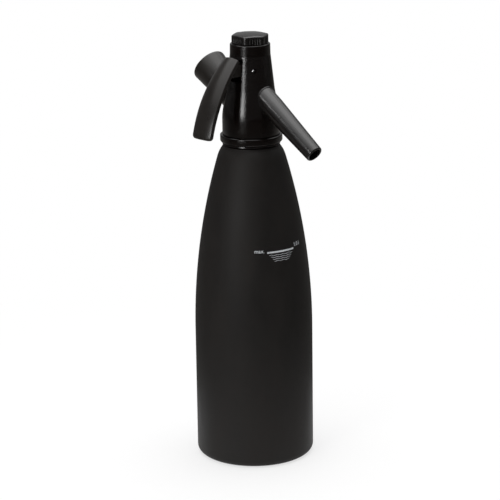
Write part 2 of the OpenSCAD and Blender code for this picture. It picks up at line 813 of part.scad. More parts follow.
// Outline of the top cap: a hexagon with its corners turned round, and grip grooves
module cap_outline() {
  groove_r = 0.45;
  groove_out = 0.1;
  // Grip grooves keep to the flat part of each side
  flat = 0.62 * cap_af / sqrt(3);
  difference() {
    intersection() {
      circle(cap_af / sqrt(3), $fn = 6);
      circle(cap_corner_d / 2);
    }
    for (side = [0:5]) rotate(30 + 60 * side)
      for (i = [0:cap_grooves - 1])
        translate([cap_af / 2 + groove_out, flat * (i / (cap_grooves - 1) - 0.5)]) circle(groove_r, $fn = 16);
  }
}

module top_cap() {
  color("#1b1a19") difference() {
    union() {
      intersection() {
        translate([0, 0, cap_z]) linear_extrude(cap_side_h + cap_dome_h) cap_outline();
        translate([0, 0, cap_top - cap_dome_r]) sphere(cap_dome_r, $fn = 96);
      }
      rotate_extrude() {
        square_ring(0, cap_thread_d / 2 - thread_t, cap_spigot_z, cap_z - cap_spigot_z + eps);
        thread_section(cap_thread_d / 2 - thread_t, cap_thread_d / 2,
                       cap_spigot_z + cap_lead, cap_pitch, cap_turns);
      }
    }
    tube(cap_pocket_r, 0, cap_spigot_z - eps, cap_pocket_h + eps);
    tube(stem_r + stem_room, 0, cap_spigot_z, cap_pocket_h + stem_room_h);
  }
}

module top_cap_seal() {
  color("#3a3836") o_ring(cap_ring_r, cap_ring, cap_ring_z);
}

module inlet_stud() {
  color("goldenrod") along_inlet() difference() {
    rotate_extrude() {
      square_ring(0, spigot_in_r, sleeve_at, seat_at - sleeve_at + eps);
      square_ring(0, seat_r, seat_at, thread_at - seat_at + eps);
      square_ring(0, inlet_r, thread_at, stud_at - thread_at + eps);
      square_ring(0, stud_flange_r, stud_at, stud_flange_t);
      square_ring(0, inlet_r - thread_t, stud_at, stud_end - stud_at);
      thread_section(inlet_r - thread_t, inlet_r,
                     stud_end - stud_lead - inlet_pitch * inlet_turns, inlet_pitch, inlet_turns);
    }
    // Recess for a charger's neck, its seal, the needle, the filter and the gas bore
    tube(neck_room_r, 0, stud_end - neck_room_l, far);
    tube(pin_seat_r + fit_gap, 0, stud_end - neck_room_l - pin_seat_l, far);
    tube(gas_bore, 0, sleeve_at + gas_start, far);
    translate([0, 0, gas_port_at]) rotate([90, 0, 0])
      translate([0, 0, -seat_r]) cylinder(h = 2 * seat_r, r = gas_port_r);
  }
}

module check_sleeve() {
  color("#3a3836") along_inlet() tube(sleeve_r, spigot_in_r + fit_gap, sleeve_at, sleeve_l);
}

module inlet_filter() {
  color("tan") along_inlet() tube(pin_seat_r, 0, stud_end - neck_room_l - pin_seat_l + fit_gap, filter_t);
}

module piercing_pin() {
  base = stud_end - neck_room_l - pin_seat_l + filter_t + 2 * fit_gap;
  // Head of the needle, its shank and its hollow point
  head_t = 2.2;
  needle_r = 1.1;
  gas_hole_r = 0.3;
  shank_l = 4.3;
  point_l = 2.5;
  color("silver") along_inlet() rotate_extrude() difference() {
    union() {
      square_ring(0, pin_seat_r, base, head_t + eps);
      translate([0, base + head_t])
        polygon([
          [0, 0], [needle_r, 0], [needle_r, shank_l], [gas_hole_r, shank_l + point_l], [0, shank_l + point_l]]);
    }
    square_ring(0, gas_hole_r, base - 1, far);
  }
}

module inlet_gasket() {
  // Hole that the needle stands in
  hole_r = 1.6;
  color("#3a3836") along_inlet()
    tube(neck_room_r - fit_gap, hole_r, stud_end - neck_room_l + fit_gap, charger_seal_t);
}

module inlet_cap() {
  r0 = inlet_cap_d / 2;
  r1 = inlet_cap_end_d / 2;
  q = inlet_cap_round;
  // Slots between the threaded sleeve and the outer shell keep the wall even
  color("#262423") along_inlet() rotate_extrude() difference() {
    polygon(concat(
      [[0, inlet_cap_at], [r0 - edge, inlet_cap_at], [r0, inlet_cap_at + edge]],
      arc_points([r1 - q, inlet_cap_end - q], q, 0, 90, 6),
      [[0, inlet_cap_end]]));
    square_ring(0, inlet_r + free_gap, inlet_cap_at - 1, inlet_ceiling - inlet_cap_at + 1);
    square_ring(inlet_sleeve_r, r0 - inlet_cap_t, inlet_cap_at - 1, inlet_cap_l - inlet_cap_floor);
  }
}

module inlet_cap_seal() {
  color("#3a3836") along_inlet() tube(inlet_r - 0.4, 0, inlet_seal_at, inlet_seal_t);
}

bottle();
bottle_coat();
neck_collar();
head_gasket();
head_body();
neck_insert();
spout();
spout_ring();
spout_seal();
outlet_pipe();
valve_body();
barrel_seals();
riser_tube();
tube_nut();
tube_seal();
gland_nut();
stem_seal();
valve_stem();
valve_washer();
washer_screw();
lift_nut();
valve_spring();
lever();
lever_pin();
top_cap();
top_cap_seal();
inlet_stud();
check_sleeve();
inlet_filter();
piercing_pin();
inlet_gasket();
inlet_cap();
inlet_cap_seal();
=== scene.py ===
import json
import logging
import math
from dataclasses import dataclass
from enum import Enum
from functools import cache
from typing import Any, Callable, Sequence

import bmesh
import bpy
from mathutils import Matrix, Vector


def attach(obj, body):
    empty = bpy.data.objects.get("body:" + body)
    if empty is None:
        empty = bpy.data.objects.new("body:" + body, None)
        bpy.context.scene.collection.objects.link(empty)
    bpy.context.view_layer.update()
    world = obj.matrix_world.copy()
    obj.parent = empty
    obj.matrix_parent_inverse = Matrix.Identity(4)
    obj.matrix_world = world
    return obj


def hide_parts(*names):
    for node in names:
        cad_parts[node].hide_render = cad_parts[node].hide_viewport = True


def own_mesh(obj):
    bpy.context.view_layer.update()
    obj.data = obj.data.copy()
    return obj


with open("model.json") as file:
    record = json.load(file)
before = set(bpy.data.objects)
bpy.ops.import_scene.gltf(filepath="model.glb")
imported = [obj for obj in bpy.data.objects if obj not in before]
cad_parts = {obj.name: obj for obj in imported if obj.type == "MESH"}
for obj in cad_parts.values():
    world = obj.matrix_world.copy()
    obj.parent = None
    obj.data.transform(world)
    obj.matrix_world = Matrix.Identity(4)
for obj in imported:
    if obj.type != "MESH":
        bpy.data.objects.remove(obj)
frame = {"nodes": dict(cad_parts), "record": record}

log = logging.getLogger("soda_siphon")
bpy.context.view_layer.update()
MM = 0.001

Object = bpy.types.Object
Material = bpy.types.Material
Tree = bpy.types.NodeTree
Point = tuple[float, float]
Corner = tuple[float, float, float]
Axis = tuple[float, float, float]
Colour = tuple[float, float, float, float]
Ramp = tuple[Any, list[tuple[float, Colour]]]

# Axes as (lean from +Z towards +X in degrees, y and z in mm of the point at x = 0 that they go through)
PIVOT: Axis = (90.0, -9.0, 303.7)
INLET: Axis = (-54.0, 0.0, 267.0)
SPOUT: Axis = (124.3, 0.0, 292.5)
SPOUT_WAY = Matrix.Rotation(math.radians(SPOUT[0]), 3, "Y") @ Vector((0.0, 0.0, 1.0))
# How far a tool reaches that cuts right across the head, in mm
ACROSS = 30.0


class Body(Enum):
    """The moving bodies that visible pieces ride on."""

    BOTTLE = "bottle"
    HEAD = "head"
    VALVE = "valve"
    LEVER = "lever"
    TOP_CAP = "top_cap"
    INLET_CAP = "inlet_cap"


class Slot(Enum):
    """The record's material slots."""

    COAT = "coat"
    GLOSS = "gloss_black"
    SATIN = "satin_black"
    MATTE = "matte_black"
    STEEL = "steel"


# ---- modelling


def clear_selection() -> None:
    """Leave edit mode and deselect every object."""
    if bpy.context.object and bpy.context.object.mode != "OBJECT":
        bpy.ops.object.mode_set(mode="OBJECT")
    bpy.ops.object.select_all(action="DESELECT")


def take(obj: Object) -> None:
    """Make one object the only selected and active one.

    Args:
        obj: The object.
    """
    clear_selection()
    obj.select_set(True)
    bpy.context.view_layer.objects.active = obj


def open_up(obj: Object) -> None:
    """Open an object in edit mode with everything selected.

    Args:
        obj: The object.
    """
    take(obj)
    bpy.ops.object.mode_set(mode="EDIT")
    bpy.ops.mesh.select_all(action="SELECT")


def arc(centre: Point, radius: float, start: float, end: float, steps: int) -> list[Point]:
    """Points along an arc.

    Args:
        centre: Centre of the arc in mm.
        radius: Radius in mm.
        start: First angle in degrees.
        end: Last angle in degrees.
        steps: Number of straight steps.

    Returns:
        The points from start to end, both included.
    """
    angles = [math.radians(start + (end - start) * i / steps) for i in range(steps + 1)]
    return [(centre[0] + radius * math.cos(a), centre[1] + radius * math.sin(a)) for a in angles]


def filleted(corners: Sequence[Corner], steps: int = 5, closed: bool = False) -> list[Point]:
    """Round the corners of an outline.

    Args:
        corners: Corners as (x, y, rounding radius) in mm.
        steps: Straight steps in each rounding.
        closed: Whether the last corner joins the first.

    Returns:
        The outline's points in mm.
    """
    points: list[Point] = []
    count = len(corners)
    for i, (x, y, radius) in enumerate(corners):
        inner = closed or 0 < i < count - 1
        if radius <= 0 or not inner:
            points.append((x, y))
            continue
        here = Vector((x, y))
        back = (Vector(corners[i - 1][:2]) - here).normalized()
        on = (Vector(corners[(i + 1) % count][:2]) - here).normalized()
        half = back.angle(on) / 2
        reach = radius / math.tan(half)
        middle = here + (back + on).normalized() * (radius / math.sin(half))
        first, last = here + back * reach - middle, here + on * reach - middle
        turn = -first.angle_signed(last)
        for k in range(steps + 1):
            cosine, sine = math.cos(turn * k / steps), math.sin(turn * k / steps)
            spoke = Vector((first.x * cosine - first.y * sine, first.x * sine + first.y * cosine))
            points.append(tuple(middle + spoke))
    return points


def rod_outline(radius: float, start: float, end: float, rounding: Point = (0.0, 0.0), steps: int = 3) -> list[Point]:
    """Outline of a rod for the lathe.

    Args:
        radius: Radius in mm.
        start: Height of its near end in mm.
        end: Height of its far end in mm.
        rounding: Rounding of its near and its far rim in mm.
        steps: Straight steps in each rounding.

    Returns:
        Points as (radius, height).
    """
    near, far = rounding
    return filleted([(0.0, start, 0.0), (radius, start, near), (radius, end, far), (0.0, end, 0.0)], steps)


def start_outline(name: str, points: Sequence[Vector], closed: bool) -> Object:
    """Draw an outline as a chain of edges and stay in edit mode.

    Args:
        name: Name of the new object.
        points: Points in mm, in space.
        closed: Whether to join the last point to the first.

    Returns:
        The object, with the whole chain selected.
    """
    clear_selection()
    bpy.ops.mesh.primitive_plane_add(size=MM)
    obj = bpy.context.object
    obj.name = obj.data.name = name
    open_up(obj)
    bpy.ops.mesh.merge(type="CENTER")
    bpy.ops.transform.translate(value=points[0] * MM)
    for before, after in zip(points, points[1:]):
        bpy.ops.mesh.extrude_region_move(TRANSFORM_OT_translate={"value": (after - before) * MM})
    if closed:
        mesh = bmesh.from_edit_mesh(obj.data)
        for vertex in mesh.verts:
            vertex.select_set(len(vertex.link_edges) == 1)
        mesh.select_flush_mode()
        bmesh.update_edit_mesh(obj.data)
        bpy.ops.mesh.edge_face_add()
    bpy.ops.mesh.select_all(action="SELECT")
    return obj


def close_up(obj: Object, angle: float = 30.0) -> None:
    """Merge doubles, turn the faces outwards, go back to object mode and smooth.

    Args:
        obj: The object being edited.
        angle: Edges sharper than this many degrees stay sharp.
    """
    open_up(obj)
    bpy.ops.mesh.remove_doubles(threshold=2e-6)
    bpy.ops.mesh.normals_make_consistent(inside=False)
    bpy.ops.object.mode_set(mode="OBJECT")
    bpy.ops.object.shade_smooth_by_angle(angle=math.radians(angle))


def reshape(obj: Object, move: Callable[[Vector], Vector], angle: float = 30.0) -> None:
    """Move every vertex of an object by a rule, then close the object up.

    Args:
        obj: Object to reshape.
        move: Rule from a vertex's place to its new place, both in mm.
        angle: Edges sharper than this many degrees stay sharp.
    """
    take(obj)
    for vertex in obj.data.vertices:
        vertex.co = move(vertex.co / MM) * MM
    close_up(obj, angle)


def turn_on_lathe(
        name: str, outline: Sequence[Point], steps: int = 144, closed: bool = False,
        axis: Axis = (0.0, 0.0, 0.0)) -> Object:
    """Spin an outline around an axis.

    Args:
        name: Name of the new object.
        outline: Outline as (radius, distance along the axis) in mm.
        steps: Steps around the axis.
        closed: Whether the outline is a loop that stays off the axis.
        axis: The axis, upright through the origin unless given.

    Returns:
        The turned object.
    """
    obj = start_outline(name, [Vector((r, 0.0, z)) for r, z in outline], closed)
    bpy.ops.mesh.spin(steps=steps, angle=math.tau, center=(0, 0, 0), axis=(0, 0, 1))
    close_up(obj)
    lean, y, z = axis
    obj.rotation_euler = (0.0, math.radians(lean), 0.0)
    obj.location = (0.0, y * MM, z * MM)
    bpy.ops.object.transform_apply()
    return obj


def combine(target: Object, *tools: Object, operation: str = "DIFFERENCE") -> None:
    """Cut, join or intersect one object with others and drop those.

    Args:
        target: Object that keeps the result.
        tools: Objects that are used up, one after the other.
        operation: DIFFERENCE, UNION or INTERSECT.
    """
    take(target)
    for tool in tools:
        modifier = target.modifiers.new("shape", "BOOLEAN")
        modifier.operation, modifier.solver, modifier.object = operation, "EXACT", tool
        bpy.ops.object.modifier_apply(modifier=modifier.name)
        bpy.data.objects.remove(tool, do_unlink=True)


def round_edges(
        obj: Object, width: float, segments: int = 3, sharper: float = -1.0,
        where: Callable[[Vector], bool] = lambda middle: True) -> None:
    """Bevel the edges of a mesh that are sharp enough and lie in the right place.

    Args:
        obj: Object to bevel.
        width: Width of the bevel in mm.
        segments: Faces across the bevel.
        sharper: Angle between an edge's two faces in degrees that it has to exceed.
        where: Test of the middle of an edge, in mm.
    """
    take(obj)
    bpy.ops.object.mode_set(mode="EDIT")
    bpy.ops.mesh.select_mode(type="EDGE")
    bpy.ops.mesh.select_all(action="DESELECT")
    mesh = bmesh.from_edit_mesh(obj.data)
    for edge in mesh.edges:
        sharp = math.degrees(edge.calc_face_angle(0.0)) > sharper
        edge.select_set(sharp and where((edge.verts[0].co + edge.verts[1].co) / 2 / MM))
    bmesh.update_edit_mesh(obj.data)
    bpy.ops.mesh.bevel(offset=width * MM, segments=segments, profile=0.5, affect="EDGES", clamp_overlap=True)
    bpy.ops.mesh.select_mode(type="VERT")
    close_up(obj)


def block(name: str, low: Corner, high: Corner, rounding: float) -> Object:
    """A box with rounded edges.

    Args:
        name: Name of the new object.
        low: Lowest corner in mm.
        high: Highest corner in mm.
        rounding: Rounding of every edge in mm.

    Returns:
        The box, with its place in its mesh.
    """
    size = [h - l for l, h in zip(low, high)]
    middle = [(h + l) / 2 * MM for l, h in zip(low, high)]
    clear_selection()
    bpy.ops.mesh.primitive_cube_add(size=MM, location=middle, scale=size)
    obj = bpy.context.object
    obj.name = obj.data.name = name
    bpy.ops.object.transform_apply()
    round_edges(obj, rounding)
    return obj


# ---- finishes


def linear(code: str) -> Colour:
    """Turn a hex colour into a linear one.

    Args:
        code: Colour as #rrggbb, in sRGB.

    Returns:
        Linear red, green, blue and alpha.
    """
    values = [int(code[i:i + 2], 16) / 255 for i in (1, 3, 5)]
    red, green, blue = (v / 12.92 if v <= 0.04045 else ((v + 0.055) / 1.055) ** 2.4 for v in values)
    return red, green, blue, 1.0


def grey(value: float) -> Colour:
    """A grey for a colour ramp that carries a number."""
    return value, value, value, 1.0


def per_mm(size: float) -> float:
    """Noise scale that gives features of a size in mm."""
    return 1.0 / (size * MM)


def add_node(tree: Tree, kind: str, settings: dict | None = None, links: dict | None = None) -> Any:
    """Add a node with its settings and links.

    Args:
        tree: Node tree to add to.
        kind: Type name of the node.
        settings: Values by socket name or number, or by property name. "stops" fills a colour ramp.
        links: Output sockets by input name or number; a node stands for its first output.

    Returns:
        The new node.
    """
    node = tree.nodes.new(kind)
    for key, value in (settings or {}).items():
        if key == "stops":
            ramp = node.color_ramp
            while len(ramp.elements) < len(value):
                ramp.elements.new(1.0)
            for element, (place, colour) in zip(ramp.elements, value):
                element.position, element.color = place, colour
        elif isinstance(key, int) or key in node.inputs:
            node.inputs[key].default_value = value
        else:
            setattr(node, key, value)
    for key, source in (links or {}).items():
        socket = source if isinstance(source, bpy.types.NodeSocket) else source.outputs[0]
        tree.links.new(socket, node.inputs[key])
    return node


def new_material(name: str) -> tuple[Material, Tree, Any]:
    """Make an empty material.

    Args:
        name: Name of the real material.

    Returns:
        The material, its tree and its object coordinates.
    """
    material = bpy.data.materials.new(name)
    material.use_nodes = True
    tree = material.node_tree
    tree.nodes.clear()
    return material, tree, add_node(tree, "ShaderNodeTexCoord").outputs["Object"]


def shade(tree: Tree, settings: dict, tone: Ramp, gloss: Ramp | None, height: Any, relief: Point) -> None:
    """Add a material's shader and wire what drives it.

    Args:
        tree: Node tree of the material.
        settings: The shader's constant inputs.
        tone: What drives the colour, and its ramp's stops.
        gloss: The same for the roughness, None where it is constant.
        height: What drives the relief.
        relief: Strength of the relief and its depth in mm.
    """
    bump = add_node(
        tree, "ShaderNodeBump", {"Strength": relief[0], "Distance": relief[1] * MM}, {"Height": height})
    links = {"Normal": bump}
    for key, ramp in (("Base Color", tone), ("Roughness", gloss)):
        if ramp:
            links[key] = add_node(tree, "ShaderNodeValToRGB", {"stops": ramp[1]}, {"Fac": ramp[0]})
    shader = add_node(tree, "ShaderNodeBsdfPrincipled", settings, links)
    add_node(tree, "ShaderNodeOutputMaterial", links={"Surface": shader})


@dataclass(frozen=True)
class Moulding:
    """Injection-moulded plastic: even colour, with the grain or polish of the mould's steel."""

    name: str
    dark: str
    light: str
    roughness: Point
    specular: float
    grain_mm: float
    grain_depth: float
    flow_mm: float = 14.0

    def build(self) -> Material:
        """Make the material.

        Returns:
            A material whose colour and gloss drift over the flow of the melt, with a grained surface.
        """
        material, tree, place = new_material(self.name)
        flow = add_node(
            tree, "ShaderNodeTexNoise",
            {"Scale": per_mm(self.flow_mm), "Detail": 3.0, "Roughness": 0.55, "Distortion": 0.4},
            {"Vector": place})
        grain = add_node(
            tree, "ShaderNodeTexNoise", {"Scale": per_mm(self.grain_mm), "Detail": 2.0, "Roughness": 0.5},
            {"Vector": place})
        low, high = self.roughness
        shade(tree, {"Specular IOR Level": self.specular},
              (flow, [(0.3, linear(self.dark)), (0.7, linear(self.light))]),
              (flow, [(0.3, grey(low)), (0.7, grey(high))]), grain, (1.0, self.grain_depth))
        return material


@dataclass(frozen=True)
class DippedRubber:
    """Synthetic rubber sleeve: dull, with a fine pore grain and faint handling marks."""

    name: str
    dark: str = "#181615"
    light: str = "#1e1b19"
    grain_mm: float = 0.45
    grain_depth: float = 0.035
    marks_mm: float = 26.0

    def build(self) -> Material:
        """Make the material.

        Returns:
            A dull rubber whose pores are drawn about twice as coarse as real ones, so that they show.
        """
        material, tree, place = new_material(self.name)
        smear = add_node(tree, "ShaderNodeMapping", {"Scale": (1.0, 1.0, 0.35)}, {"Vector": place})
        marks = add_node(
            tree, "ShaderNodeTexNoise", {"Scale": per_mm(self.marks_mm), "Detail": 4.0, "Roughness": 0.6},
            {"Vector": smear})
        pores = add_node(
            tree, "ShaderNodeTexNoise", {"Scale": per_mm(self.grain_mm), "Detail": 3.0, "Roughness": 0.6},
            {"Vector": place})
        blend = add_node(tree, "ShaderNodeMath", {"operation": "MULTIPLY_ADD", 1: 0.35}, {0: pores, 2: marks})
        shade(tree, {"Specular IOR Level": 0.24},
              (blend, [(0.5, linear(self.dark)), (0.85, linear(self.light))]),
              (marks, [(0.35, grey(0.52)), (0.65, grey(0.62))]), pores, (1.0, self.grain_depth))
        return material


@dataclass(frozen=True)
class PrintedInk:
    """Screen-printed ink on rubber: pale, thin and a little worn through."""

    name: str
    ink: str = "#cbcfd3"
    worn: str = "#9fa2a4"
    fleck_mm: float = 0.8

    def build(self) -> Material:
        """Make the material.

        Returns:
            A pale dull ink with small worn flecks.
        """
        material, tree, place = new_material(self.name)
        flecks = add_node(
            tree, "ShaderNodeTexNoise", {"Scale": per_mm(self.fleck_mm), "Detail": 4.0, "Roughness": 0.65},
            {"Vector": place})
        shade(tree, {"Specular IOR Level": 0.3, "Roughness": 0.55},
              (flecks, [(0.38, linear(self.worn)), (0.5, linear(self.ink))]), None, flecks, (0.5, 0.02))
        return material


@dataclass(frozen=True)
class TurnedMetal:
    """Lathe-turned metal: fine feed lines around the axis, with a film of tarnish."""

    name: str
    clean: str
    dull: str
    roughness: Point
    feed_mm: float = 0.35
    film_mm: float = 5.0

    def build(self) -> Material:
        """Make the material.

        Returns:
            A metal with rings from the tool, drawn coarser than the real feed so that they show.
        """
        material, tree, place = new_material(self.name)
        film = add_node(
            tree, "ShaderNodeTexNoise", {"Scale": per_mm(self.film_mm), "Detail": 5.0, "Roughness": 0.6},
            {"Vector": place})
        lines = add_node(
            tree, "ShaderNodeTexWave",
            {"wave_type": "BANDS", "bands_direction": "Z", "Scale": per_mm(self.feed_mm) / 20.0,
             "Distortion": 0.6, "Detail": 2.0}, {"Vector": place}).outputs["Fac"]
        low, high = self.roughness
        shade(tree, {"Metallic": 1.0}, (film, [(0.35, linear(self.dull)), (0.65, linear(self.clean))]),
              (film, [(0.35, grey(high)), (0.65, grey(low))]), lines, (0.6, 0.01))
        return material


FINISHES = {
    # High-gloss ABS: near black, sharp reflections that a faint orange peel makes uneven
    "gloss_black": Moulding("gloss_black_abs", "#090504", "#0c0807", (0.12, 0.17), 0.4, 0.9, 0.09),
    # Satin polypropylene: softer reflections, faint grain
    "satin_black": Moulding("satin_black_polypropylene", "#0f0d0c", "#141110", (0.2, 0.25), 0.75, 1.0, 0.08),
    # Spark-eroded polyamide: dull grey-black with a fine even grain
    "matte_black": Moulding("grained_black_polyamide", "#181513", "#1e1b18", (0.27, 0.33), 0.5, 0.38, 0.02),
    # Moulded nitrile seals: dull and slightly mottled
    "seal": Moulding("nitrile_rubber", "#1a1918", "#242221", (0.6, 0.75), 0.3, 0.5, 0.03, 6.0),
    # Extruded polyethylene tube: milky, with a soft gloss
    "tube_plastic": Moulding("milky_polyethylene", "#c9cbc9", "#dadcd9", (0.3, 0.4), 0.5, 1.2, 0.02),
    # Dipped rubber: soft, dull and a little smeared by hands
    "coat": DippedRubber("dipped_rubber_sleeve"),
    # Screen-print ink: pale against the rubber, thin enough to wear
    "ink": PrintedInk("screen_print_ink"),
    # Turned brass: warm yellow, duller where it has tarnished
    "brass": TurnedMetal("turned_brass", "#d2b06c", "#a98a50", (0.24, 0.4)),
    # Stainless steel: cool grey, drawn or ground
    "steel": TurnedMetal("ground_stainless_steel", "#c6c6c8", "#a5a6a8", (0.2, 0.34), 0.25),
    # Polished pin steel: bright, with a small sharp glint
    "pin": TurnedMetal("polished_pin_steel", "#bfbfc1", "#a5a6a8", (0.09, 0.14), 0.3),
    # Spun aluminium: pale grey with broad rings
    "aluminium": TurnedMetal("spun_aluminium", "#cfd0d3", "#aeb0b3", (0.3, 0.45), 0.6),
}


@cache
def material_of(finish: str) -> Material:
    """The material of a finish by its name in FINISHES, made once."""
    return FINISHES[finish].build()


def paint(obj: Object, finish: str) -> None:
    """Give an object the material of a finish and no other."""
    obj.data.materials.clear()
    obj.data.materials.append(material_of(finish))


def dress(obj: Object, finish: str, body: Body, slot: Slot, *nodes: str) -> None:
    """Give a piece its finish and its place among the moving bodies.

    Args:
        obj: The piece.
        finish: Name of its finish in FINISHES.
        body: The body it rides on.
        slot: The record's slot that the finish belongs to; not used.
        nodes: CAD nodes that it stands for.
    """
    paint(obj, finish)
    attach(obj, body.value)
    if nodes:
        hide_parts(*nodes)
    log.info("%s: %d faces", obj.name, len(obj.data.polygons))


# ---- pieces


@dataclass
class CoatedBottle:
    """The rubber-coated bottle, its collar and the printed fill mark. Sizes in mm."""

    radius: float = 45.26
    foot: float = 5.0
    straight: float = 100.0
    taper_end: Point = (25.9, 236.0)
    ledge: Point = (20.9, 245.0)
    neck: float = 17.25
    stand: float = 39.75
    lift: float = 0.3
    coat_wall: float = 0.95
    collar_radius: float = 23.6
    collar_top: float = 253.1
    mark: float = 169.8
    mark_middle: float = -12.0
    wave_length: float = 5.1

    def __post_init__(self) -> None:
        """Work out the radius and the centre of the long taper and of the shoulder."""
        into, up = self.radius - self.taper_end[0], self.taper_end[1] - self.straight
        self.taper = (up * up + into * into) / (2 * into)
        self.taper_angle = math.degrees(math.asin(up / self.taper))
        across = Vector((math.cos(math.radians(self.taper_angle)), math.sin(math.radians(self.taper_angle))))
        chord = Vector(self.taper_end) - Vector(self.ledge)
        self.shoulder = chord.length_squared / (2 * across.dot(chord))
        self.shoulder_centre = Vector(self.taper_end) - self.shoulder * across
        out = Vector(self.ledge) - self.shoulder_centre
        self.shoulder_angle = math.degrees(math.atan2(out.y, out.x))

    def side(self, height: float) -> float:
        """Radius of the coat's outside at a height on the long taper, in mm."""
        return self.radius - self.taper + math.sqrt(self.taper ** 2 - (height - self.straight) ** 2)

    def coat(self) -> Object:
        """Model the rubber coat as one thin sleeve, from its foot to the ledge and back inside.

        Returns:
            The coat.
        """
        wall, (ledge, top), neck = self.coat_wall, self.ledge, self.neck + 0.1
        outer = arc((self.radius - self.foot, self.foot), self.foot, -70, 0, 10)
        outer += [(self.radius, z) for z in (20.0, 40.0, 60.0, 80.0)]
        outer += arc((self.radius - self.taper, self.straight), self.taper, 0, self.taper_angle, 30)
        outer += arc(tuple(self.shoulder_centre), self.shoulder, self.taper_angle, self.shoulder_angle - 4, 10)[1:]
        lip = outer[-1][0]
        outer += [(lip - 0.35, top - 0.1), (lip - 0.8, top), (neck, top)]
        inner = [(neck, top - 1.0), (ledge - 1.2, top - 1.0), (self.taper_end[0] - 1.0, self.taper_end[1]),
                 (self.side(170) - wall, 170.0), (self.radius - wall, self.straight), (self.radius - wall, 8.0),
                 (self.stand, wall)]
        outline = [(self.stand, self.lift), (self.stand + 1.2, self.lift)] + outer[1:] + inner
        return turn_on_lathe("RubberCoat", outline, 160, closed=True)

    def collar(self) -> Object:
        """Model the gloss ring that lies on the ledge, with the fine bead along its foot.

        Returns:
            The collar.
        """
        low, top, r = self.ledge[1], self.collar_top, self.collar_radius
        section = filleted([(self.neck, low + 0.02, 0.2), (r - 2.9, low + 0.02, 0.1), (r - 2.7, low + 0.7, 0.15),
                            (r - 1.5, low + 0.95, 0.35), (r - 1.75, low + 2.1, 0.35), (r - 2.1, low + 2.2, 0.1),
                            (r, low + 2.7, 1.5), (r, top, 0.8), (self.neck, top, 0.2)], 6, closed=True)
        return turn_on_lathe("NeckCollar", section, 160, closed=True)

    def stripe(self, height: float, tall: float, half_turn: float, wave: float) -> Object:
        """Model one printed line of the fill mark.

        Args:
            height: Height of its middle in mm.
            tall: Width of the line in mm.
            half_turn: Half of its length as an angle in degrees.
            wave: Height of its waves in mm.

        Returns:
            The line, lying on the coat.
        """
        low, high = height - tall / 2, height + tall / 2
        corners = [(self.side(low) - 0.02, low), (self.side(low) + 0.07, low), (self.side(high) + 0.07, high),
                   (self.side(high) - 0.02, high)]
        start = Matrix.Rotation(math.radians(self.mark_middle - half_turn), 3, "Z")
        line = start_outline("FillLine", [start @ Vector((r, 0.0, z)) for r, z in corners], closed=True)
        bpy.ops.mesh.edge_face_add()
        steps, angle = int(half_turn * 3), math.radians(-2 * half_turn)
        bpy.ops.mesh.spin(steps=steps, angle=angle, center=(0, 0, 0), axis=(0, 0, 1))

        def waved(place: Vector) -> Vector:
            """Lift a point of the line by the wave there and keep it on the coat.

            Args:
                place: The point in mm.

            Returns:
                Its new place in mm.
            """
            angle = math.atan2(place.y, place.x) - math.radians(self.mark_middle)
            rise = wave * math.sin(angle * self.side(height) / self.wave_length * math.tau)
            grow = self.side(height + rise) / self.side(height)
            return Vector((place.x * grow, place.y * grow, place.z + rise))

        reshape(line, waved)
        return line

    def lettering(self, text: str, size: float, height: float, aside: float) -> Object:
        """Model a short generic level mark as flat letters on the coat.

        Args:
            text: Letters or digits.
            size: Height of the letters in mm.
            height: Height of their foot in mm.
            aside: Direction of their middle in degrees from the mark's middle.

        Returns:
            The letters as one mesh.
        """
        clear_selection()
        bpy.ops.object.text_add()
        curve = bpy.context.object.data
        curve.body, curve.size, curve.align_x = text, size * MM * 1.4, "CENTER"
        curve.extrude, curve.offset, curve.resolution_u = 0.05 * MM, 0.015 * MM, 3
        bpy.ops.object.convert(target="MESH")
        radius, middle = self.side(height + size / 2), math.radians(self.mark_middle + aside)

        def wrapped(place: Vector) -> Vector:
            """Wrap a point of the flat letters around the coat.

            Args:
                place: The point in mm.

            Returns:
                Its new place in mm.
            """
            turn, z = middle + place.x / radius, height + place.y
            r = self.side(z) + 0.02 + place.z
            return Vector((r * math.cos(turn), r * math.sin(turn), z))

        letters = bpy.context.object
        reshape(letters, wrapped)
        return letters

    def fill_mark(self) -> Object:
        """Model the fill mark: a level line, shorter waves below it and two generic level marks.

        Returns:
            The mark as one mesh.
        """
        parts = [self.stripe(self.mark, 1.25, 16.8, 0.0)]
        for drop, half_turn in ((2.2, 14.6), (3.7, 12.7), (5.2, 10.8), (6.7, 9.1)):
            parts.append(self.stripe(self.mark - drop, 0.23, half_turn, 0.28))
        parts.append(self.lettering("max.", 2.9, self.mark + 0.1, -25.3))
        parts.append(self.lettering("1.0 l", 3.0, self.mark + 1.2, 23.0))
        take(parts[0])
        for part in parts[1:]:
            part.select_set(True)
        bpy.ops.object.join()
        mark = bpy.context.object
        mark.name = mark.data.name = "FillMark"
        return mark

    def build(self) -> None:
        """Build and dress the bottle's visible pieces."""
        dress(self.coat(), "coat", Body.BOTTLE, Slot.COAT, "bottle_coat")
        dress(self.collar(), "gloss_black", Body.BOTTLE, Slot.GLOSS, "neck_collar")
        dress(self.fill_mark(), "ink", Body.BOTTLE, Slot.COAT)


